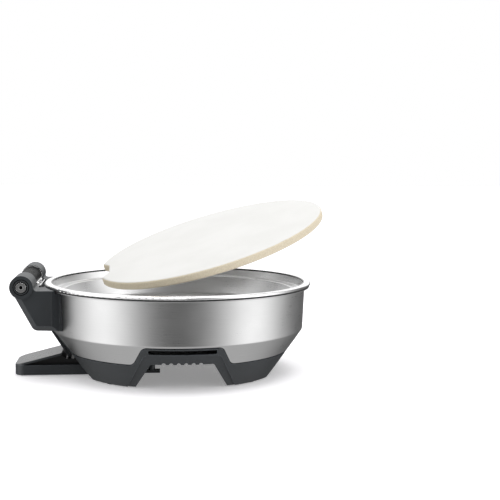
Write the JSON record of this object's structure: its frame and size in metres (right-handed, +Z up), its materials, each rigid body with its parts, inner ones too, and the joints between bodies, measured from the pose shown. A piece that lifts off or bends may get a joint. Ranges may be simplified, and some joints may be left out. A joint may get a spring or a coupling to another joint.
{
  "type": "electric griddle",
  "caption": "Round electric griddle: brushed steel bowl on a four-legged moulded frame, lift-out baking stone held above it, rear lid hinge and stabilising foot.",
  "frame": {"origin": "where the bowl's vertical axis meets the counter top", "axes": "+X to the front, away from the lid hinge; +Z up; +Y completes a right-handed frame"},
  "size_m": [0.4235, 0.366, 0.233],
  "materials": {
    "brushed_housing": "vertical soft sheen, fine horizontal brushing",
    "polished_rim": "bright rolled edge",
    "grey_liner": "satin",
    "stone": "matte, fine grained",
    "charcoal_moulding": "satin charcoal",
    "black_moulding": "matte black",
    "rubber_pads": "matte",
    "bright_steel": "polished",
    "zinc_screws": "zinc plated",
    "element_sheath": "dark oxidised sheath",
    "electrical": "unglazed",
    "wire_sleeve": "woven glass sleeve"
  },
  "bodies": {
    "base": {"base_frame": "charcoal_moulding", "bottom_plate": "black_moulding", "bowl_liner": "grey_liner", "cord_cleat_far": "charcoal_moulding", "cord_cleat_near": "charcoal_moulding", "cord_gland": "black_moulding", "element_clips": "zinc_screws", "foot_screws": "zinc_screws", "heating_element": "element_sheath", "hinge_block": "charcoal_moulding", "hinge_block_screws": "zinc_screws", "hinge_bolt_far": "bright_steel", "hinge_bolt_near": "bright_steel", "hinge_cap_far": "charcoal_moulding", "hinge_cap_near": "charcoal_moulding", "hinge_pin": "bright_steel", "hinge_washers": "bright_steel", "internal_wires": "wire_sleeve", "leg_feet": "rubber_pads", "outer_housing": "brushed_housing", "plate_screws": "zinc_screws", "rear_foot_base": "charcoal_moulding", "rear_foot_cover": "charcoal_moulding", "rear_foot_pads": "rubber_pads", "rear_foot_web": "black_moulding", "rear_spine": "charcoal_moulding", "rim_ring": "polished_rim", "rim_seal": "black_moulding", "terminal_block": "electrical", "thermal_fuse": "electrical", "thermostat": "electrical"},
    "stone": {"baking_stone": "stone"},
    "lid_hinge": {"hinge_barrel": "black_moulding", "lid_bracket": "bright_steel", "bracket_screws": "zinc_screws"},
    "control": {"control_slider": "charcoal_moulding"}
  },
  "joints": [
    {"name": "stone_lift", "type": "hinge", "parent": "base", "child": "stone", "pos_m": [-0.13331, -0.06103, 0.30154], "axis": [0.4163, -0.9092, 0], "range_deg": [-18.7, 0]},
    {"name": "lid_hinge_turn", "type": "hinge", "parent": "base", "child": "lid_hinge", "pos_m": [-0.2051, 0, 0.1272], "axis": [0, -1, 0], "range_deg": [0, 105]},
    {"name": "heat_control", "type": "hinge", "parent": "base", "child": "control", "pos_m": [0, 0, 0.0535], "axis": [0, 0, 1], "range_deg": [-13, 13]}
  ]
}
